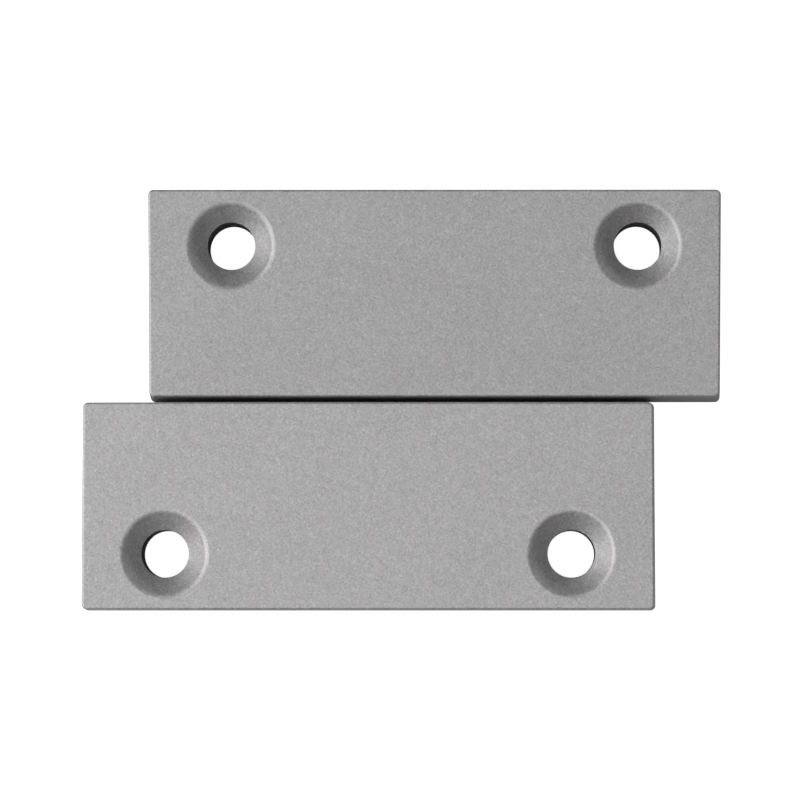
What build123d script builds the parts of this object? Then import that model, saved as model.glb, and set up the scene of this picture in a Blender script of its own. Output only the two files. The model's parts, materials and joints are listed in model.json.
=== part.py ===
from build123d import *
import os
from math import radians, tan

# Door contact sensor: a switch unit and a magnet unit, two metal blocks of the same casting that lie side
# by side. Millimetres, +Z up and away from the mounting faces, which lie at z = 0. The origin is the middle
# of the pair. Each unit is drawn in its own plane, in which u runs along the block and v runs from the side
# that faces the other unit to the side with the screw holes.

# Blocks
LENGTH = 55.64  # along the middle of the mounting face
WIDTH = 20.27
HEIGHT = 12.0
INNER_DRAFT = 1.25  # degrees, the side that faces the other unit leans in towards the front face
END_DRAFT = 1.35
OUTER_DRAFT = 0.35
END_LEAN = 0.37  # degrees, seen from the front the ends lean in towards the other unit
CORNER_RADIUS = 0.5
EDGE_RADIUS = 0.22
FOOT_CHAMFER = 0.12
GAP = 0.05  # between the two blocks' feet, which almost touch
STAGGER = 6.4  # the switch unit sits this far further towards +X than the magnet unit

# Screw holes for 4 mm countersunk screws
HOLE_U = 19.6
HOLE_V = 4.69
HOLE_RADIUS = 2.3
SINK_RADIUS = 4.07
SINK_DEPTH = SINK_RADIUS - HOLE_RADIUS  # a 90 degree countersink
HOLE_RIM_RADIUS = 0.12
SINK_RIM_RADIUS = 0.65
CUT_SPARE = 1.0  # cutters run this far past the surface

# Pocket in the back
CHANNEL_HALF = 26.0
BAY_HALF = 15.0
INNER_FACE_V = -8.4
CHANNEL_TOP_V = 0.2
BAY_TOP_V = 8.4
POCKET_RADIUS = 0.8
POCKET_CEILING = 10.0
RIM_LEDGE = 0.7
RECESS_RADIUS = 1.2
LEDGE_Z = 1.5
POST = 3.8
POSTS = [(-24.1, -6.5), (24.1, -6.5), (-13.1, 6.5), (13.1, 6.5)]

# Cover, gasket and their screws
COVER_SUNK = 0.1
COVER_THICKNESS = 1.0
COVER_PLAY = 0.06
COVER_INNER_Z = COVER_SUNK + COVER_THICKNESS
SCREW_HEAD_RADIUS = 1.88
SCREW_RADIUS = 0.98
SCREW_PLAY = 0.04
SCREW_END_Z = 5.0
SCREW_SINK = 0.9
SCREW_CROSS_LENGTH = 2.1
SCREW_CROSS_WIDTH = 0.42
GASKET_HOLE = 1.3

# Wiring inlet of the switch unit
INLET_U = 17.5
INLET_V = -4.1
INLET_RADIUS = 2.0
GROMMET_NECK = 2.95
GROMMET_FLANGE = 3.6
GROMMET_FLANGE_HEIGHT = 1.0

# Circuit board and its carrier
BOARD_Z = 6.6  # the side with the components, facing the cover
BOARD_THICKNESS = 1.0
BOARD_TOP_Z = BOARD_Z + BOARD_THICKNESS
CARRIER_Z = 8.9
PAD_Z = 9.7
STANDOFFS = [(-13.0, -6.6), (13.0, -6.6), (-13.0, 2.6), (13.0, 2.6)]
STAKES = [STANDOFFS[1], STANDOFFS[2]]
BOARD_V = -1.85  # middle of the wide stretch, between the notches and the far edge
BOARD_SIZE = (28.8, 12.1)
BOARD_TONGUE = (21.6, 15.8)  # the narrower stretch between the cover screw posts
BOARD_CORNER = 0.5
CARRIER_PAD_SIZE = (26.0, 10.0)
STANDOFF_RADIUS = 1.1
STAKE_RADIUS = 0.6
STAKE_HEAD = 1.0
STAKE_HEAD_HEIGHT = 0.4
STAKE_HEAD_SLOPE = 30  # degrees
LEAD_END_Z = 8.1
FIT_PLAY = 0.05
WIRE_PLAY = 0.01
SOLDER_FOOT = 0.45  # the solder's width round a lead at the board, and at its tip
SOLDER_TIP = 0.08
SOLDER_HEIGHT = 0.4

# Reed switch
REED_V = -6.0
REED_Z = 5.2
GLASS_RADIUS = 1.1
GLASS_BORE = 0.8
GLASS_HALF = 7.0
GLASS_SEAL = 1.3
GLASS_END_RADIUS = 0.66
LEAD_RADIUS = 0.25
LEAD_HALF = 10.5
LEAD_BEND = 0.7
BLADE_START = 5.5
BLADE_OVERLAP = 0.5
BLADE_WIDTH = 1.0
BLADE_THICKNESS = 0.16
BLADE_GAP = 0.02

# Screw terminals, heights measured from the board towards the cover
POLES = 4
POLE_PITCH = 3.5
BLOCK_FRONT_V = 1.2
BLOCK_DEPTH = 6.5
BLOCK_HEIGHT = 4.8
BLOCK_CHAMFER = 0.3
WIRE_ENTRY_WIDTH = 1.9
WELL_PLAY = 0.1
PLATE_PLAY = 0.03
CAGE_V = 3.6
CAGE_WIDTH = 2.6
CAGE_DEPTH = 2.2
CAGE_BOTTOM = 0.3
CAGE_TOP = 3.1
CAGE_WALL = 0.35
CAGE_TRAVEL = 0.8
CAGE_CEILING = 2.5
PLATE_BOTTOM = 2.0
PLATE_TOP = 2.3
PLATE_WIDTH = 1.7
PIN_V = 6.9
PIN_RADIUS = 0.35
CLAMP_SCREW_RADIUS = 0.8
CLAMP_HEAD_RADIUS = 1.05
CLAMP_HEAD = 4.05
CLAMP_TOP = 4.75
CLAMP_TIP_GAP = 0.02
CLAMP_SLOT_WIDTH = 0.35
CLAMP_SLOT_DEPTH = 0.4

# Loop resistor and tamper link
RESISTOR_U = -5.0
RESISTOR_V = -2.6
RESISTOR_Z = 5.5
RESISTOR_RADIUS = 0.9
RESISTOR_HALF = 1.8
RESISTOR_END_RADIUS = 0.54
RESISTOR_LEAD_HALF = 3.5
LINK_U = 5.5
LINK_Z = 5.6
LINK_HALF = 3.0

# Magnet and its holder
MAGNET_LENGTH = 30.0
MAGNET_SIZE = 5.0
MAGNET_V = -4.8
MAGNET_Z = 2.9
MAGNET_PLAY = 0.1
MAGNET_CHAMFER = 0.25
HOLDER_LENGTH = 36.0
HOLDER_FRONT_V = -8.2
HOLDER_BACK_V = -0.4
HOLDER_Z = 2.8
HOLDER_TOP_Z = 9.9
PAD_INSET = 0.8

END_SHIFT = WIDTH / 2 * tan(radians(END_LEAN))
UNIT_X = STAGGER / 2
UNIT_Y = (WIDTH + GAP) / 2
SWITCH = Plane((UNIT_X, UNIT_Y, 0))
MAGNET = Plane((-UNIT_X, -UNIT_Y, 0), x_dir=(-1, 0, 0), z_dir=(0, 0, 1))
UNITS = {"switch": SWITCH, "magnet": MAGNET}

os.makedirs("parts", exist_ok=True)


def span(low, high):
    """Middle and size of a stretch."""
    return (low + high) / 2, high - low


def pocket_outline(margin):
    """The long channel beside the other unit and the bay between the screw holes, grown by margin."""
    channel_v, channel_width = span(INNER_FACE_V, CHANNEL_TOP_V)
    bay_v, bay_width = span(INNER_FACE_V, BAY_TOP_V)
    with BuildSketch() as outline:
        with Locations((0, channel_v)):
            Rectangle(2 * (CHANNEL_HALF + margin), channel_width + 2 * margin)
        with Locations((0, bay_v)):
            Rectangle(2 * (BAY_HALF + margin), bay_width + 2 * margin)
    return outline.sketch


def hole_cutter():
    """Countersink and straight bore, right through the block."""
    sink_z = HEIGHT - SINK_DEPTH
    with BuildPart() as cutter:
        with BuildSketch(Plane.XZ) as section:
            with BuildLine():
                Polyline(
                    (0, -CUT_SPARE),
                    (HOLE_RADIUS, -CUT_SPARE),
                    (HOLE_RADIUS, sink_z),
                    (SINK_RADIUS + CUT_SPARE, HEIGHT + CUT_SPARE),
                    (0, HEIGHT + CUT_SPARE),
                    close=True,
                )
            make_face()
            rim = section.vertices().sort_by_distance((HOLE_RADIUS, 0, sink_z))[0]
            fillet(rim, HOLE_RIM_RADIUS)
        revolve(axis=Axis.Z)
    return cutter.part


def lead_wire(middle, half, wire_z, radius):
    """A wire along u at wire_z, with both ends bent up through the board."""
    with BuildPart(SWITCH) as wire:
        with BuildLine(SWITCH) as path:
            FilletPolyline(
                (middle[0] - half, middle[1], LEAD_END_Z),
                (middle[0] - half, middle[1], wire_z),
                (middle[0] + half, middle[1], wire_z),
                (middle[0] + half, middle[1], LEAD_END_Z),
                radius=LEAD_BEND,
            )
        with BuildSketch(Plane(path.line @ 0, z_dir=path.line % 0)):
            Circle(radius)
        sweep()
    return wire.part


# Housings, covers, gaskets and cover screws, alike for both units

POCKET = pocket_outline(0)
RECESS = pocket_outline(RIM_LEDGE)
HOLE_CUTTER = hole_cutter()

for unit_name, unit in UNITS.items():
    along = Axis(unit.origin, unit.x_dir)
    across = Axis(unit.origin, unit.y_dir)
    with BuildPart(unit) as housing:
        with BuildSketch(unit):
            Polygon(
                (-LENGTH / 2 + END_SHIFT, -WIDTH / 2),
                (LENGTH / 2 - END_SHIFT, -WIDTH / 2),
                (LENGTH / 2 + END_SHIFT, WIDTH / 2),
                (-LENGTH / 2 - END_SHIFT, WIDTH / 2),
                align=None,
            )
        extrude(amount=HEIGHT)
        draft(housing.faces().sort_by(across)[0], unit, INNER_DRAFT)
        draft(housing.faces().sort_by(across)[-1], unit, OUTER_DRAFT)
        draft(housing.faces().sort_by(along)[0], unit, END_DRAFT)
        draft(housing.faces().sort_by(along)[-1], unit, END_DRAFT)
        fillet(housing.edges().group_by(Axis.Z)[1], CORNER_RADIUS)
        fillet(housing.faces().sort_by(Axis.Z)[-1].edges(), EDGE_RADIUS)
        chamfer(housing.faces().sort_by(Axis.Z)[0].edges(), FOOT_CHAMFER)
        with Locations((-HOLE_U, HOLE_V, 0), (HOLE_U, HOLE_V, 0)):
            add(HOLE_CUTTER, mode=Mode.SUBTRACT)
        front_face = housing.faces().sort_by(Axis.Z)[-1]
        fillet([rim.edge() for rim in front_face.inner_wires()], SINK_RIM_RADIUS)
        with BuildSketch(unit):
            recess = add(RECESS)
            fillet(recess.vertices(), RECESS_RADIUS)
        extrude(amount=LEDGE_Z, mode=Mode.SUBTRACT)
        with BuildSketch(unit.offset(LEDGE_Z)) as pocket:
            add(POCKET)
            with Locations(*POSTS):
                Rectangle(POST, POST, mode=Mode.SUBTRACT)
            fillet(pocket.vertices(), POCKET_RADIUS)
        extrude(amount=POCKET_CEILING - LEDGE_Z, mode=Mode.SUBTRACT)
        with BuildSketch(unit.offset(LEDGE_Z)):
            with Locations(*POSTS):
                Circle(SCREW_RADIUS + SCREW_PLAY)
        extrude(amount=SCREW_END_Z, mode=Mode.SUBTRACT)
    housing.part.label = f"{unit_name}_housing"
    export_step(housing.part, f"parts/{unit_name}_housing.step")

    with BuildPart(unit) as cover:
        with BuildSketch(unit.offset(COVER_SUNK)) as plate:
            add(RECESS)
            fillet(plate.vertices(), RECESS_RADIUS)
            offset(amount=-COVER_PLAY, mode=Mode.REPLACE)
            if unit is SWITCH:
                with Locations((INLET_U, INLET_V)):
                    Circle(GROMMET_NECK + FIT_PLAY, mode=Mode.SUBTRACT)
        extrude(amount=COVER_THICKNESS)
        with Locations([(u, v, COVER_SUNK) for u, v in POSTS]):
            Cone(
                SCREW_HEAD_RADIUS + 2 * SCREW_PLAY,
                SCREW_RADIUS + 2 * SCREW_PLAY,
                SCREW_SINK,
                align=(Align.CENTER, Align.CENTER, Align.MIN),
                mode=Mode.SUBTRACT,
            )
            Cylinder(
                SCREW_RADIUS + 2 * SCREW_PLAY,
                COVER_THICKNESS,
                align=(Align.CENTER, Align.CENTER, Align.MIN),
                mode=Mode.SUBTRACT,
            )
    cover.part.label = f"{unit_name}_cover"
    export_step(cover.part, f"parts/{unit_name}_cover.step")

    with BuildPart() as gasket:
        with BuildSketch(unit.offset(COVER_INNER_Z)) as seal:
            add(RECESS)
            fillet(seal.vertices(), RECESS_RADIUS)
            offset(amount=-COVER_PLAY, mode=Mode.REPLACE)
            with BuildSketch(mode=Mode.PRIVATE) as opening:
                add(POCKET)
                with Locations(*POSTS):
                    Rectangle(POST, POST, mode=Mode.SUBTRACT)
                fillet(opening.vertices(), POCKET_RADIUS)
            add(opening.sketch, mode=Mode.SUBTRACT)
            with Locations(*POSTS):
                Circle(GASKET_HOLE, mode=Mode.SUBTRACT)
        extrude(amount=LEDGE_Z - COVER_INNER_Z)
    gasket.part.label = f"{unit_name}_gasket"
    export_step(gasket.part, f"parts/{unit_name}_gasket.step")

    with BuildPart() as one_screw:
        with BuildSketch(Plane.XZ):
            with BuildLine():
                Polyline(
                    (0, COVER_SUNK + SCREW_PLAY),
                    (SCREW_HEAD_RADIUS, COVER_SUNK + SCREW_PLAY),
                    (SCREW_RADIUS, COVER_SUNK + SCREW_SINK),
                    (SCREW_RADIUS, SCREW_END_Z - SCREW_RADIUS / 2),
                    (SCREW_RADIUS / 2, SCREW_END_Z),
                    (0, SCREW_END_Z),
                    close=True,
                )
            make_face()
        revolve(axis=Axis.Z)
        with BuildSketch(Plane.XY.offset(COVER_SUNK)):
            Rectangle(SCREW_CROSS_LENGTH, SCREW_CROSS_WIDTH)
            Rectangle(SCREW_CROSS_WIDTH, SCREW_CROSS_LENGTH)
        extrude(amount=SCREW_SINK / 2, mode=Mode.SUBTRACT)
    with BuildPart(unit) as cover_screws:
        with Locations(*POSTS):
            add(one_screw.part)
    cover_screws.part.label = f"{unit_name}_cover_screws"
    export_step(cover_screws.part, f"parts/{unit_name}_cover_screws.step")


# Wiring inlet: a rubber bush pushed through the cover from inside, flush with the cover outside

with BuildPart(SWITCH) as cable_grommet:
    with BuildSketch(SWITCH.offset(COVER_SUNK)):
        with Locations((INLET_U, INLET_V)):
            Circle(GROMMET_NECK)
            Circle(INLET_RADIUS, mode=Mode.SUBTRACT)
    extrude(amount=COVER_THICKNESS)
    with BuildSketch(SWITCH.offset(COVER_INNER_Z)):
        with Locations((INLET_U, INLET_V)):
            Circle(GROMMET_FLANGE)
            Circle(INLET_RADIUS, mode=Mode.SUBTRACT)
    extrude(amount=GROMMET_FLANGE_HEIGHT)
cable_grommet.part.label = "cable_grommet"
export_step(cable_grommet.part, "parts/cable_grommet.step")


# Carrier and circuit board

POLE_US = [POLE_PITCH * (pole - (POLES - 1) / 2) for pole in range(POLES)]
REED_LEADS = [(-LEAD_HALF, REED_V), (LEAD_HALF, REED_V)]
RESISTOR_LEADS = [(RESISTOR_U + side * RESISTOR_LEAD_HALF, RESISTOR_V) for side in (-1, 1)]
LINK_LEADS = [(LINK_U + side * LINK_HALF, RESISTOR_V) for side in (-1, 1)]
TERMINAL_LEADS = [(u, PIN_V) for u in POLE_US]
WIRE_LEADS = REED_LEADS + RESISTOR_LEADS + LINK_LEADS


def board_outline():
    """A plate that fits the bay, notched round the two cover screw posts."""
    with BuildSketch() as outline:
        with Locations((0, BOARD_V)):
            Rectangle(*BOARD_SIZE)
        Rectangle(*BOARD_TONGUE)
        fillet(outline.vertices(), BOARD_CORNER)
    return outline.sketch


BOARD_OUTLINE = board_outline()

with BuildPart(SWITCH) as carrier_pad:
    with BuildSketch(SWITCH.offset(PAD_Z)):
        with Locations((0, BOARD_V)):
            RectangleRounded(*CARRIER_PAD_SIZE, BOARD_CORNER)
    extrude(amount=POCKET_CEILING - PAD_Z)
carrier_pad.part.label = "carrier_pad"
export_step(carrier_pad.part, "parts/carrier_pad.step")

with BuildPart(SWITCH) as board_carrier:
    with BuildSketch(SWITCH.offset(CARRIER_Z)):
        add(BOARD_OUTLINE)
    extrude(amount=PAD_Z - CARRIER_Z)
    with BuildSketch(SWITCH.offset(BOARD_TOP_Z)):
        with Locations(*STANDOFFS):
            Circle(STANDOFF_RADIUS)
    extrude(amount=CARRIER_Z - BOARD_TOP_Z)
    with BuildSketch(SWITCH.offset(BOARD_Z)):
        with Locations(*STAKES):
            Circle(STAKE_RADIUS)
    extrude(amount=BOARD_THICKNESS)
    with BuildSketch(SWITCH.offset(BOARD_Z)):
        with Locations(*STAKES):
            Circle(STAKE_HEAD)
    extrude(amount=-STAKE_HEAD_HEIGHT, taper=STAKE_HEAD_SLOPE)
board_carrier.part.label = "board_carrier"
export_step(board_carrier.part, "parts/board_carrier.step")

with BuildPart(SWITCH) as circuit_board:
    with BuildSketch(SWITCH.offset(BOARD_Z)):
        add(BOARD_OUTLINE)
        with Locations(*STAKES):
            Circle(STAKE_RADIUS + FIT_PLAY, mode=Mode.SUBTRACT)
        with Locations(*WIRE_LEADS):
            Circle(LEAD_RADIUS + FIT_PLAY, mode=Mode.SUBTRACT)
        with Locations(*TERMINAL_LEADS):
            Circle(PIN_RADIUS + FIT_PLAY, mode=Mode.SUBTRACT)
    extrude(amount=BOARD_THICKNESS)
circuit_board.part.label = "circuit_board"
export_step(circuit_board.part, "parts/circuit_board.step")

with BuildPart(SWITCH) as solder_joints:
    for leads, lead_radius in ((WIRE_LEADS, LEAD_RADIUS), (TERMINAL_LEADS, PIN_RADIUS)):
        with Locations([(u, v, BOARD_TOP_Z) for u, v in leads]):
            Cone(
                lead_radius + SOLDER_FOOT,
                lead_radius + SOLDER_TIP,
                SOLDER_HEIGHT,
                align=(Align.CENTER, Align.CENTER, Align.MIN),
            )
            Cylinder(
                lead_radius + WIRE_PLAY,
                SOLDER_HEIGHT,
                align=(Align.CENTER, Align.CENTER, Align.MIN),
                mode=Mode.SUBTRACT,
            )
solder_joints.part.label = "solder_joints"
export_step(solder_joints.part, "parts/solder_joints.step")


# Reed switch: glass tube, two leads, and two blades whose tips overlap in its middle

GLASS_PLANE = Plane(SWITCH.from_local_coords((-GLASS_HALF, REED_V, REED_Z)), z_dir=(1, 0, 0))

with BuildPart() as reed_glass:
    with BuildSketch(GLASS_PLANE):
        Circle(GLASS_RADIUS)
    extrude(amount=2 * GLASS_HALF)
    fillet(reed_glass.edges().filter_by(GeomType.CIRCLE), GLASS_END_RADIUS)
    with BuildSketch(GLASS_PLANE.offset(GLASS_SEAL)):
        Circle(GLASS_BORE)
    extrude(amount=2 * (GLASS_HALF - GLASS_SEAL), mode=Mode.SUBTRACT)
    with BuildSketch(GLASS_PLANE):
        Circle(LEAD_RADIUS + WIRE_PLAY)
    extrude(amount=2 * GLASS_HALF, mode=Mode.SUBTRACT)
reed_glass.part.label = "reed_glass"
export_step(reed_glass.part, "parts/reed_glass.step")

for side_name, side in (("left", -1), ("right", 1)):
    seal_end = side * (GLASS_HALF - GLASS_SEAL)
    with BuildPart() as reed_lead:
        with BuildLine(SWITCH) as path:
            FilletPolyline(
                (seal_end, REED_V, REED_Z),
                (side * LEAD_HALF, REED_V, REED_Z),
                (side * LEAD_HALF, REED_V, LEAD_END_Z),
                radius=LEAD_BEND,
            )
        with BuildSketch(Plane(path.line @ 0, z_dir=path.line % 0)):
            Circle(LEAD_RADIUS)
        sweep()
    reed_lead.part.label = f"reed_lead_{side_name}"
    export_step(reed_lead.part, f"parts/reed_lead_{side_name}.step")

    blade_u, blade_length = span(side * -BLADE_OVERLAP, side * BLADE_START)
    blade_z = REED_Z - side * (BLADE_GAP + BLADE_THICKNESS) / 2
    with BuildPart(SWITCH) as reed_blade:
        with Locations((blade_u, REED_V, blade_z)):
            Box(abs(blade_length), BLADE_WIDTH, BLADE_THICKNESS)
    reed_blade.part.label = f"reed_blade_{side_name}"
    export_step(reed_blade.part, f"parts/reed_blade_{side_name}.step")


# Loop resistor and tamper link

RESISTOR_PLANE = Plane(
    SWITCH.from_local_coords((RESISTOR_U - RESISTOR_HALF, RESISTOR_V, RESISTOR_Z)), z_dir=(1, 0, 0)
)

with BuildPart() as loop_resistor:
    with BuildSketch(RESISTOR_PLANE):
        Circle(RESISTOR_RADIUS)
    extrude(amount=2 * RESISTOR_HALF)
    fillet(loop_resistor.edges().filter_by(GeomType.CIRCLE), RESISTOR_END_RADIUS)
    with BuildSketch(RESISTOR_PLANE):
        Circle(LEAD_RADIUS + WIRE_PLAY)
    extrude(amount=2 * RESISTOR_HALF, mode=Mode.SUBTRACT)
loop_resistor.part.label = "loop_resistor"
export_step(loop_resistor.part, "parts/loop_resistor.step")

loop_resistor_lead = lead_wire((RESISTOR_U, RESISTOR_V), RESISTOR_LEAD_HALF, RESISTOR_Z, LEAD_RADIUS)
loop_resistor_lead.label = "loop_resistor_lead"
export_step(loop_resistor_lead, "parts/loop_resistor_lead.step")

tamper_link = lead_wire((LINK_U, RESISTOR_V), LINK_HALF, LINK_Z, LEAD_RADIUS)
tamper_link.label = "tamper_link"
export_step(tamper_link, "parts/tamper_link.step")


# Screw terminals. Each screw's tip bears on the fixed plate; its thread draws the cage towards the cover,
# so the cage's floor presses the wire up against the plate.


def terminal_box(width, v_low, v_high, low, high, mode=Mode.ADD):
    """A box centred on each pole, with its heights measured from the board towards the cover."""
    v_middle, depth = span(v_low, v_high)
    with Locations((0, v_middle, BOARD_Z - low)):
        Box(width, depth, high - low, align=(Align.CENTER, Align.CENTER, Align.MAX), mode=mode)


def terminal_round(radius, v, low, high, mode=Mode.ADD):
    """An upright cylinder on each pole, with its heights measured from the board towards the cover."""
    with Locations((0, v, BOARD_Z - low)):
        Cylinder(radius, high - low, align=(Align.CENTER, Align.CENTER, Align.MAX), mode=mode)


CAGE_FRONT = CAGE_V - CAGE_DEPTH / 2
CAGE_BACK = CAGE_V + CAGE_DEPTH / 2
PLATE_END = PIN_V + PIN_RADIUS

with BuildPart() as terminal_well:
    terminal_box(
        CAGE_WIDTH + 2 * WELL_PLAY,
        CAGE_FRONT - 2 * WELL_PLAY,
        CAGE_BACK + 2 * WELL_PLAY,
        CAGE_BOTTOM - FIT_PLAY,
        CAGE_TOP + CAGE_TRAVEL + FIT_PLAY,
    )
    terminal_round(CLAMP_HEAD_RADIUS + WELL_PLAY, CAGE_V, CAGE_TOP, BLOCK_HEIGHT + CUT_SPARE)
    terminal_box(
        PLATE_WIDTH + 2 * PLATE_PLAY,
        CAGE_V,
        PLATE_END + PLATE_PLAY,
        PLATE_BOTTOM - PLATE_PLAY,
        PLATE_TOP + PLATE_PLAY,
    )
    terminal_round(PIN_RADIUS + PLATE_PLAY, PIN_V, -CUT_SPARE, PLATE_BOTTOM)
    terminal_box(
        WIRE_ENTRY_WIDTH, BLOCK_FRONT_V - CUT_SPARE, CAGE_V, CAGE_BOTTOM + CAGE_WALL, PLATE_BOTTOM
    )

with BuildPart(SWITCH) as terminal_block:
    block_v, block_depth = span(BLOCK_FRONT_V, BLOCK_FRONT_V + BLOCK_DEPTH)
    with BuildSketch(SWITCH.offset(BOARD_Z)):
        with Locations((0, block_v)):
            Rectangle(POLES * POLE_PITCH, block_depth)
    extrude(amount=-BLOCK_HEIGHT)
    chamfer(terminal_block.faces().sort_by(Axis.Z)[0].edges(), BLOCK_CHAMFER)
    with Locations([(u, 0, 0) for u in POLE_US]):
        add(terminal_well.part, mode=Mode.SUBTRACT)
terminal_block.part.label = "terminal_block"
export_step(terminal_block.part, "parts/terminal_block.step")

with BuildPart() as one_pin:
    terminal_box(PLATE_WIDTH, CAGE_FRONT, PLATE_END, PLATE_BOTTOM, PLATE_TOP)
    terminal_round(PIN_RADIUS, PIN_V, BOARD_Z - LEAD_END_Z, PLATE_TOP)
with BuildPart(SWITCH) as terminal_pins:
    with Locations([(u, 0, 0) for u in POLE_US]):
        add(one_pin.part)
terminal_pins.part.label = "terminal_pins"
export_step(terminal_pins.part, "parts/terminal_pins.step")

with BuildPart() as one_cage:
    terminal_box(CAGE_WIDTH, CAGE_FRONT, CAGE_BACK, CAGE_BOTTOM, CAGE_TOP)
    terminal_box(
        CAGE_WIDTH - 2 * CAGE_WALL,
        CAGE_FRONT,
        CAGE_BACK,
        CAGE_BOTTOM + CAGE_WALL,
        CAGE_CEILING,
        mode=Mode.SUBTRACT,
    )
    terminal_round(CLAMP_SCREW_RADIUS + SCREW_PLAY, CAGE_V, CAGE_CEILING, CAGE_TOP, mode=Mode.SUBTRACT)

with BuildPart() as one_clamp_screw:
    terminal_round(CLAMP_SCREW_RADIUS, CAGE_V, PLATE_TOP + CLAMP_TIP_GAP, CLAMP_HEAD)
    terminal_round(CLAMP_HEAD_RADIUS, CAGE_V, CLAMP_HEAD, CLAMP_TOP)
    terminal_box(
        CLAMP_SLOT_WIDTH,
        CAGE_V - CLAMP_HEAD_RADIUS,
        CAGE_V + CLAMP_HEAD_RADIUS,
        CLAMP_TOP - CLAMP_SLOT_DEPTH,
        CLAMP_TOP,
        mode=Mode.SUBTRACT,
    )

for number, pole_u in enumerate(POLE_US, start=1):
    with BuildPart(SWITCH) as terminal_cage:
        with Locations((pole_u, 0, 0)):
            add(one_cage.part)
    terminal_cage.part.label = f"terminal_cage_{number}"
    export_step(terminal_cage.part, f"parts/terminal_cage_{number}.step")

    with BuildPart(SWITCH) as terminal_screw:
        with Locations((pole_u, 0, 0)):
            add(one_clamp_screw.part)
    terminal_screw.part.label = f"terminal_screw_{number}"
    export_step(terminal_screw.part, f"parts/terminal_screw_{number}.step")


# Magnet, its holder, and the foam pad that presses them against the housing

HOLDER_V, HOLDER_WIDTH = span(HOLDER_FRONT_V, HOLDER_BACK_V)

with BuildPart(MAGNET) as bar_magnet:
    with BuildSketch(MAGNET.offset(MAGNET_Z)):
        with Locations((0, MAGNET_V)):
            Rectangle(MAGNET_LENGTH, MAGNET_SIZE)
    extrude(amount=MAGNET_SIZE)
    chamfer(bar_magnet.edges(), MAGNET_CHAMFER)
bar_magnet.part.label = "bar_magnet"
export_step(bar_magnet.part, "parts/bar_magnet.step")

with BuildPart(MAGNET) as magnet_holder:
    with BuildSketch(MAGNET.offset(HOLDER_Z)):
        with Locations((0, HOLDER_V)):
            RectangleRounded(HOLDER_LENGTH, HOLDER_WIDTH, POCKET_RADIUS)
    extrude(amount=HOLDER_TOP_Z - HOLDER_Z)
    with BuildSketch(MAGNET.offset(HOLDER_Z)):
        with Locations((0, MAGNET_V)):
            Rectangle(MAGNET_LENGTH + 2 * MAGNET_PLAY, MAGNET_SIZE + 2 * MAGNET_PLAY)
    extrude(amount=MAGNET_Z + MAGNET_SIZE + MAGNET_PLAY - HOLDER_Z, mode=Mode.SUBTRACT)
magnet_holder.part.label = "magnet_holder"
export_step(magnet_holder.part, "parts/magnet_holder.step")

with BuildPart(MAGNET) as magnet_pad:
    with BuildSketch(MAGNET.offset(COVER_INNER_Z)):
        with Locations((0, HOLDER_V)):
            RectangleRounded(HOLDER_LENGTH - 2 * PAD_INSET, HOLDER_WIDTH - 2 * PAD_INSET, POCKET_RADIUS)
    extrude(amount=HOLDER_Z - COVER_INNER_Z)
magnet_pad.part.label = "magnet_pad"
export_step(magnet_pad.part, "parts/magnet_pad.step")
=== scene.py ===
import json

import bpy
from mathutils import Matrix, Vector


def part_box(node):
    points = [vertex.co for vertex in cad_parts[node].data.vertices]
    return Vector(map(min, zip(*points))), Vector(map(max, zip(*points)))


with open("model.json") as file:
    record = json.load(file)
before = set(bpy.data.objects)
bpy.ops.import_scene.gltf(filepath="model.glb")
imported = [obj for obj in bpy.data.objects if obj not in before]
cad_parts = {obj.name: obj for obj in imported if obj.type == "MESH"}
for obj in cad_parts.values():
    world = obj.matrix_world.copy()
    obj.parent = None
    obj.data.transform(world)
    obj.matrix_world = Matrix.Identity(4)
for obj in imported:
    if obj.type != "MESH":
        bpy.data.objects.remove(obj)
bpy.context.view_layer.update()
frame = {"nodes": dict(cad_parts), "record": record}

MM = 0.001
HOLE_REACH = 2.7 * MM  # radius that takes in the bores of the screw holes
SINK_FLOOR = 10.1 * MM  # height where the countersinks end
MAGNET_UNIT_PAINTED_LIGHT = 1.07  # painted light: the magnet unit's grey is raised to stand in for the brighter light its face catches
NOISE_LOW, NOISE_HIGH = 0.3, 0.7  # a noise texture rarely goes past these
PEAK_LOW, PEAK_HIGH = 0.62, 0.72  # only its peaks reach these
SUM_LOW, SUM_HIGH = 0.35, 0.65  # a weighted sum of noises rarely goes past these
NOISE_TURN = (0.6, 0.45, 0.8)  # radians

# Every CAD node keeps its shape and gets its finish here. Materials read object coordinates, which are
# metres in the row's frame, so a noise of scale 1 / size has grains of that size.


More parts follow.
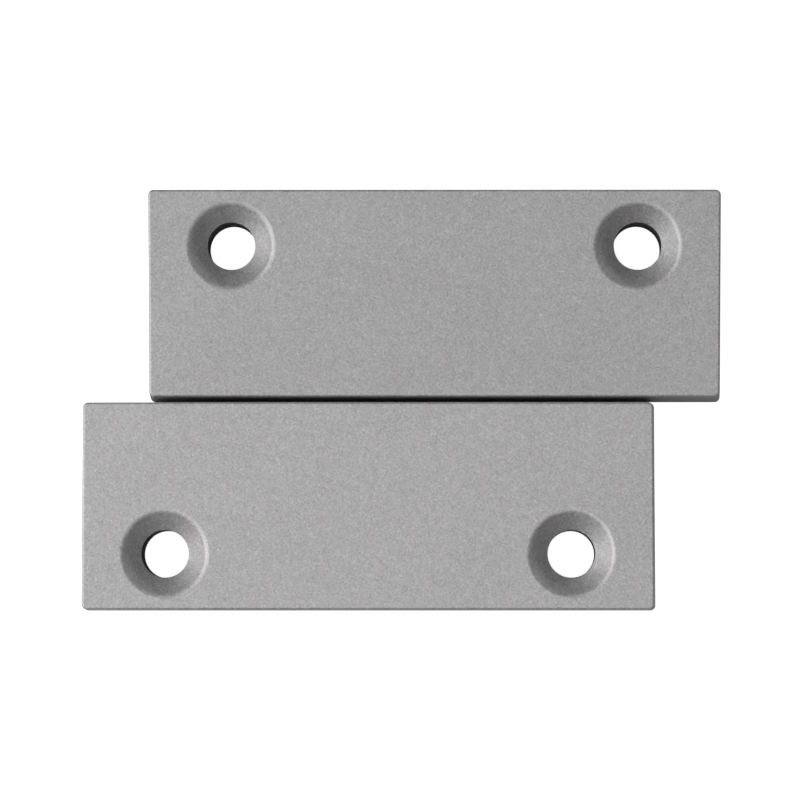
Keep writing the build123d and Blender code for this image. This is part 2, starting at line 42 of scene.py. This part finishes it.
class Graph:
    """A material's node tree, with short calls for the nodes used below."""

    def __init__(self, name):
        self.material = bpy.data.materials.new(name)
        self.material.use_nodes = True
        self.nodes = self.material.node_tree.nodes
        self.links = self.material.node_tree.links
        self.shader = self.nodes["Principled BSDF"]
        self.place = self.nodes.new("ShaderNodeTexCoord").outputs["Object"]
        turn = self.nodes.new("ShaderNodeMapping")
        turn.inputs["Rotation"].default_value = NOISE_TURN
        self.links.new(self.place, turn.inputs["Vector"])
        self.turned = turn.outputs["Vector"]  # noise in it has no rows along the part's own axes
        parts = self.nodes.new("ShaderNodeSeparateXYZ")
        self.links.new(self.place, parts.inputs[0])
        self.x, self.y, self.z = parts.outputs

    def put(self, value, socket):
        """Links an output to a socket, or sets the socket to a constant."""
        if isinstance(value, bpy.types.NodeSocket):
            self.links.new(value, socket)
        else:
            socket.default_value = value

    def stretched(self, x, y, z):
        """The object coordinates with each axis scaled."""
        node = self.nodes.new("ShaderNodeVectorMath")
        node.operation = "MULTIPLY"
        node.inputs[1].default_value = (x, y, z)
        self.links.new(self.place, node.inputs[0])
        return node.outputs[0]

    def noise(self, grain, detail=2.0, place=None, roughness=0.5):
        """Noise from 0 to 1 with grains of that size in metres."""
        node = self.nodes.new("ShaderNodeTexNoise")
        node.inputs["Scale"].default_value = 1 / grain
        node.inputs["Detail"].default_value = detail
        node.inputs["Roughness"].default_value = roughness
        self.links.new(place or self.turned, node.inputs["Vector"])
        return node.outputs["Fac"]

    def math(self, operation, a, b=0.0, c=0.0):
        node = self.nodes.new("ShaderNodeMath")
        node.operation = operation
        for value, socket in zip((a, b, c), node.inputs):
            self.put(value, socket)
        return node.outputs[0]

    def fit(self, value, low, high, to_low=0.0, to_high=1.0):
        """Value brought from low..high to to_low..to_high, and held there."""
        node = self.nodes.new("ShaderNodeMapRange")
        for number, socket in zip((value, low, high, to_low, to_high), node.inputs):
            self.put(number, socket)
        return node.outputs["Result"]

    def spread(self, noise, to_low=0.0, to_high=1.0):
        """The usual range of a noise brought to to_low..to_high."""
        return self.fit(noise, NOISE_LOW, NOISE_HIGH, to_low, to_high)

    def mix(self, factor, first, second, blend="MIX"):
        """Colours mixed by factor. Several sockets share each name, so they are taken by number."""
        node = self.nodes.new("ShaderNodeMix")
        node.data_type = "RGBA"
        node.blend_type = blend
        self.put(factor, node.inputs[0])
        self.put(first, node.inputs[6])
        self.put(second, node.inputs[7])
        return node.outputs[2]

    def bump(self, height, depth, strength=1.0, below=None):
        """A bump of that depth in metres, on top of another."""
        node = self.nodes.new("ShaderNodeBump")
        node.inputs["Strength"].default_value = strength
        node.inputs["Distance"].default_value = depth
        self.links.new(height, node.inputs["Height"])
        if below is not None:
            self.links.new(below, node.inputs["Normal"])
        return node.outputs["Normal"]

    def finish(self, color, roughness, normal=None, metallic=0.0, **fixed):
        """Links the look to the shader and gives the material."""
        self.put(color, self.shader.inputs["Base Color"])
        self.put(roughness, self.shader.inputs["Roughness"])
        self.shader.inputs["Metallic"].default_value = metallic
        if normal is not None:
            self.links.new(normal, self.shader.inputs["Normal"])
        for socket, value in fixed.items():
            self.shader.inputs[socket.replace("_", " ")].default_value = value
        return self.material


def grey(value, warm=0.0):
    """A grey, slightly warm or cool."""
    return (value * (1 + warm), value, value * (1 - warm), 1.0)


def in_screw_holes(g):
    """1 in the straight bores of the screw holes, and 0 elsewhere."""
    nearest = 1.0
    for mount in frame["record"]["mounts"]:
        if mount["kind"] != "bolt_pattern":
            continue
        middle_x, middle_y, _ = mount["pos_m"]
        along = g.math("ABSOLUTE", g.math("SUBTRACT", g.x, middle_x))
        along = g.math("SUBTRACT", along, mount["dims"]["spacing_x_mm"] / 2 * MM)
        across = g.math("SUBTRACT", g.y, middle_y)
        distance = g.math("SQRT", g.math("MULTIPLY_ADD", along, along, g.math("MULTIPLY", across, across)))
        nearest = g.math("MINIMUM", distance, nearest)
    beside = g.math("LESS_THAN", nearest, HOLE_REACH)
    return g.math("MULTIPLY", beside, g.math("LESS_THAN", g.z, SINK_FLOOR))


def blasted_tone(g, grain, speck):
    """Light and dark of the blasted surface: grain, specks and wide clouds."""
    cloud = g.noise(6.0 * MM, detail=3.0)
    coarse = g.math("MULTIPLY_ADD", speck, 0.24, g.math("MULTIPLY", cloud, 0.1))
    return g.math("MULTIPLY_ADD", grain, 0.66, coarse)


def blasted_color(g, tone):
    """Grey of the blasted surface, with painted glints, a faint play from warm to cool, and the magnet unit
    painted lighter as painted light.
    """
    shade = g.mix(g.spread(tone), grey(0.412), grey(0.695))
    # Painted highlight: sparse noise peaks push the grey towards light grey as painted glints.
    painted_glint = g.fit(g.noise(0.27 * MM, detail=1.0), PEAK_LOW, PEAK_HIGH, 0.0, 0.42)
    shade = g.mix(painted_glint, shade, grey(0.80))
    tint_noise = g.noise(0.3 * MM, detail=2.0, place=g.stretched(1.0, 1.0, -1.0))
    tint = g.mix(g.spread(tint_noise), (1.065, 1.0, 1.016, 1), (0.965, 1.0, 0.998, 1))
    color = g.mix(1.0, shade, tint, "MULTIPLY")
    # Painted light: the magnet unit, below y = 0, is painted lighter than the switch unit.
    in_magnet_unit = g.math("LESS_THAN", g.y, 0.0)
    return g.mix(in_magnet_unit, color, g.mix(1.0, color, grey(MAGNET_UNIT_PAINTED_LIGHT), "MULTIPLY"))


def blasted_metal():
    """Bead-blasted, clear anodised housing metal: fine grain, faint mottling, and bores painted dark as
    painted shade.
    """
    g = Graph("blasted_metal")
    grain = g.noise(0.19 * MM, detail=1.0, roughness=0.6)
    speck = g.noise(0.7 * MM, detail=2.0)
    tone = blasted_tone(g, grain, speck)
    # Painted shade: the straight bores of the screw holes are painted dark grey.
    bore_painted_shade = g.mix(g.spread(speck), grey(0.2), grey(0.33))
    color = g.mix(in_screw_holes(g), blasted_color(g, tone), bore_painted_shade)
    normal = g.bump(grain, 0.020 * MM, 0.6, g.bump(speck, 0.012 * MM, 0.5))
    return g.finish(color, g.fit(tone, SUM_LOW, SUM_HIGH, 0.56, 0.67), normal, metallic=0.85)


def sheet_metal():
    """Rolled and brushed cover sheet, brushed along its length."""
    g = Graph("sheet_metal")
    streak = g.noise(1.0, detail=4.0, place=g.stretched(120.0, 9000.0, 9000.0), roughness=0.6)
    cloud = g.noise(5.0 * MM, detail=2.0)
    color = g.mix(g.spread(streak), grey(0.48, -0.01), grey(0.62, -0.01))
    color = g.mix(g.spread(cloud, 0.0, 0.25), color, grey(0.5))
    roughness = g.spread(streak, 0.28, 0.42)
    return g.finish(color, roughness, g.bump(streak, 0.006 * MM, 0.5), metallic=1.0)


def machined_steel():
    """Small steel screws."""
    g = Graph("machined_steel")
    grain = g.noise(0.12 * MM, detail=3.0)
    color = g.mix(g.spread(grain), grey(0.50), grey(0.62))
    roughness = g.spread(g.noise(0.5 * MM), 0.2, 0.36)
    return g.finish(color, roughness, g.bump(grain, 0.004 * MM, 0.4), metallic=1.0)


def bright_metal(name, dark, light, roughness_low, roughness_high):
    """Brass, tin plating or solder."""
    g = Graph(name)
    grain = g.noise(0.25 * MM, detail=3.0)
    color = g.mix(g.spread(grain), dark, light)
    roughness = g.spread(g.noise(0.6 * MM), roughness_low, roughness_high)
    return g.finish(color, roughness, g.bump(grain, 0.004 * MM, 0.4), metallic=1.0)


def magnet_metal():
    """Cast magnet alloy with ground faces."""
    g = Graph("magnet_metal")
    streak = g.noise(1.0, detail=3.0, place=g.stretched(6000.0, 400.0, 400.0))
    pit = g.fit(g.noise(0.7 * MM, detail=4.0), PEAK_LOW, PEAK_HIGH)
    color = g.mix(g.spread(streak), grey(0.30), grey(0.42))
    color = g.mix(g.math("MULTIPLY", pit, 0.6), color, grey(0.14))
    return g.finish(color, g.spread(streak, 0.34, 0.5), g.bump(streak, 0.008 * MM, 0.5), metallic=1.0)


def moulded(name, dark, light, roughness_low, roughness_high, grain_size, depth):
    """Moulded plastic or rubber with a fine eroded texture."""
    g = Graph(name)
    grain = g.noise(grain_size, detail=3.0)
    cloud = g.noise(4.0 * MM, detail=2.0)
    tone = g.math("MULTIPLY_ADD", grain, 0.5, g.math("MULTIPLY", cloud, 0.5))
    color = g.mix(g.fit(tone, SUM_LOW, SUM_HIGH), dark, light)
    roughness = g.spread(grain, roughness_low, roughness_high)
    return g.finish(color, roughness, g.bump(grain, depth, 0.6))


def board_laminate():
    """Green solder resist over woven glass laminate."""
    g = Graph("board_laminate")
    across = g.noise(1.0, detail=1.0, place=g.stretched(300.0, 3200.0, 300.0))
    along = g.noise(1.0, detail=1.0, place=g.stretched(3200.0, 300.0, 300.0))
    weave = g.math("MULTIPLY_ADD", across, 0.5, g.math("MULTIPLY", along, 0.5))
    color = g.mix(g.fit(weave, SUM_LOW, SUM_HIGH), (0.012, 0.075, 0.03, 1), (0.03, 0.15, 0.06, 1))
    roughness = g.fit(weave, SUM_LOW, SUM_HIGH, 0.2, 0.32)
    return g.finish(color, roughness, g.bump(weave, 0.01 * MM, 0.4), Coat_Weight=0.3)


def clear_glass():
    """Slightly green glass of the reed switch."""
    g = Graph("clear_glass")
    seed = g.noise(0.8 * MM, detail=2.0)
    color = g.mix(g.spread(seed), (0.80, 0.93, 0.84, 1), (0.9, 0.98, 0.92, 1))
    g.finish(color, g.spread(seed, 0.02, 0.06), g.bump(seed, 0.003 * MM, 0.3), IOR=1.5)
    g.shader.inputs["Transmission Weight"].default_value = 1.0
    return g.material


RESISTOR_BANDS = (  # place along the body, as a share of its length, and colour
    (0.18, (0.12, 0.03, 0.01, 1)),
    (0.36, (0.01, 0.01, 0.01, 1)),
    (0.54, (0.55, 0.03, 0.02, 1)),
    (0.82, (0.60, 0.42, 0.10, 1)),
)
BAND_HALF_WIDTH = 0.045


def resistor_body():
    """Lacquered resistor with four bands of colour round it."""
    g = Graph("resistor_body")
    low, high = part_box("loop_resistor")
    along = g.fit(g.x, low[0], high[0])
    grain = g.noise(0.3 * MM, detail=2.0)
    color = g.mix(g.spread(grain), (0.42, 0.30, 0.16, 1), (0.50, 0.37, 0.21, 1))
    for middle, band in RESISTOR_BANDS:
        near = g.math("LESS_THAN", g.math("ABSOLUTE", g.math("SUBTRACT", along, middle)), BAND_HALF_WIDTH)
        color = g.mix(near, color, band)
    return g.finish(color, g.spread(grain, 0.2, 0.34), g.bump(grain, 0.01 * MM, 0.3), Coat_Weight=0.4)


MATERIALS = {
    "housing_metal": blasted_metal(),
    "cover_metal": sheet_metal(),
    "screw_steel": machined_steel(),
    "gasket_rubber": moulded("gasket_rubber", grey(0.02), grey(0.035), 0.6, 0.8, 0.2 * MM, 0.01 * MM),
    "grommet_rubber": moulded("grommet_rubber", grey(0.015), grey(0.03), 0.45, 0.62, 0.25 * MM, 0.01 * MM),
    "pad_foam": moulded("pad_foam", grey(0.03), grey(0.08), 0.85, 0.95, 0.3 * MM, 0.06 * MM),
    "carrier_plastic": moulded("carrier_plastic", grey(0.05), grey(0.075), 0.4, 0.55, 0.2 * MM, 0.01 * MM),
    "board_laminate": board_laminate(),
    "solder": bright_metal("solder", grey(0.5), grey(0.68), 0.16, 0.34),
    "reed_glass": clear_glass(),
    "reed_metal": bright_metal("reed_metal", grey(0.45, 0.02), grey(0.58, 0.02), 0.2, 0.34),
    "resistor_body": resistor_body(),
    "terminal_plastic": moulded(
        "terminal_plastic", (0.01, 0.10, 0.045, 1), (0.02, 0.15, 0.07, 1), 0.35, 0.5, 0.15 * MM, 0.008 * MM
    ),
    "terminal_brass": bright_metal(
        "terminal_brass", (0.50, 0.34, 0.13, 1), (0.64, 0.46, 0.20, 1), 0.22, 0.38
    ),
    "magnet_metal": magnet_metal(),
    "holder_plastic": moulded(
        "holder_plastic", grey(0.50, 0.02), grey(0.58, 0.02), 0.4, 0.55, 0.2 * MM, 0.01 * MM
    ),
}

for subpart in frame["record"]["subparts"]:
    node = frame["nodes"][subpart["node"]]
    node.data.materials.clear()
    node.data.materials.append(MATERIALS[subpart["material_slot"]])


# Floor: a plain pale table, a hair below the mounting faces, bright to the camera as a light table is

FLOOR_HALF = 3.0
FLOOR_DROP = 0.02 * MM
FLOOR_GLOW = 0.97


def make_floor():
    g = Graph("pale_floor")
    cloud = g.noise(0.2, detail=2.0)
    color = g.mix(g.spread(cloud), grey(0.52), grey(0.58))
    g.finish(color, 0.9)
    seen = g.nodes.new("ShaderNodeLightPath").outputs["Is Camera Ray"]
    g.shader.inputs["Emission Color"].default_value = grey(1.0)
    g.links.new(g.math("MULTIPLY", seen, FLOOR_GLOW), g.shader.inputs["Emission Strength"])
    mesh = bpy.data.meshes.new("floor")
    corners = [(x * FLOOR_HALF, y * FLOOR_HALF, -FLOOR_DROP) for x, y in ((-1, -1), (1, -1), (1, 1), (-1, 1))]
    mesh.from_pydata(corners, [], [(0, 1, 2, 3)])
    mesh.materials.append(g.material)
    floor = bpy.data.objects.new("floor", mesh)
    bpy.context.scene.collection.objects.link(floor)


make_floor()


# Lights: a soft key from the left, a soft top light, a low rim light from the far right, and a surround
# that is dim as a light but bright to the camera

SURROUND_LIGHT = 0.09
SURROUND_SEEN = 1.0


def softbox(name, position, width, height, watts):
    """A rectangular light aimed at the origin."""
    light = bpy.data.lights.new(name, "AREA")
    light.shape = "RECTANGLE"
    light.size = width
    light.size_y = height
    light.energy = watts
    lamp = bpy.data.objects.new(name, light)
    lamp.location = position
    lamp.rotation_euler = (-Vector(position)).to_track_quat("-Z", "Y").to_euler()
    bpy.context.scene.collection.objects.link(lamp)


def make_surround():
    world = bpy.data.worlds.new("surround")
    world.use_nodes = True
    nodes, links = world.node_tree.nodes, world.node_tree.links
    glow = nodes.new("ShaderNodeMapRange")
    glow.inputs["To Min"].default_value = SURROUND_LIGHT
    glow.inputs["To Max"].default_value = SURROUND_SEEN
    links.new(nodes.new("ShaderNodeLightPath").outputs["Is Camera Ray"], glow.inputs["Value"])
    links.new(glow.outputs["Result"], nodes["Background"].inputs["Strength"])
    nodes["Background"].inputs["Color"].default_value = grey(1.0)
    bpy.context.scene.world = world


softbox("key_light", (-0.56, 0.0, 0.44), 0.7, 0.6, 3.85)
softbox("top_light", (-0.08, -0.20, 0.95), 0.7, 0.7, 2.05)
softbox("rim_light", (0.80, 0.60, 0.07), 1.0, 0.14, 1.2)
make_surround()
bpy.context.scene.view_settings.view_transform = "Standard"


# Camera: almost straight down, standing a little towards the magnet unit, as in the photograph

CAMERA_PLACE = Vector((7.5 * MM, -23.7 * MM, 917 * MM))
VIEW_POINT = Vector((-0.12 * MM, -0.06 * MM, 12 * MM))  # in the plane of the front faces


def make_camera():
    """A long lens, with the blocks' length level in the picture."""
    data = bpy.data.cameras.new("camera")
    data.lens = 423.0
    data.sensor_width = 36.0
    data.clip_start = 0.01
    data.clip_end = 20.0
    camera = bpy.data.objects.new("camera", data)
    camera.location = CAMERA_PLACE
    back = (CAMERA_PLACE - VIEW_POINT).normalized()
    right = Vector((0, 1, 0)).cross(back).normalized()
    camera.rotation_euler = Matrix((right, back.cross(right), back)).transposed().to_euler()
    bpy.context.scene.collection.objects.link(camera)
    bpy.context.scene.camera = camera


make_camera()
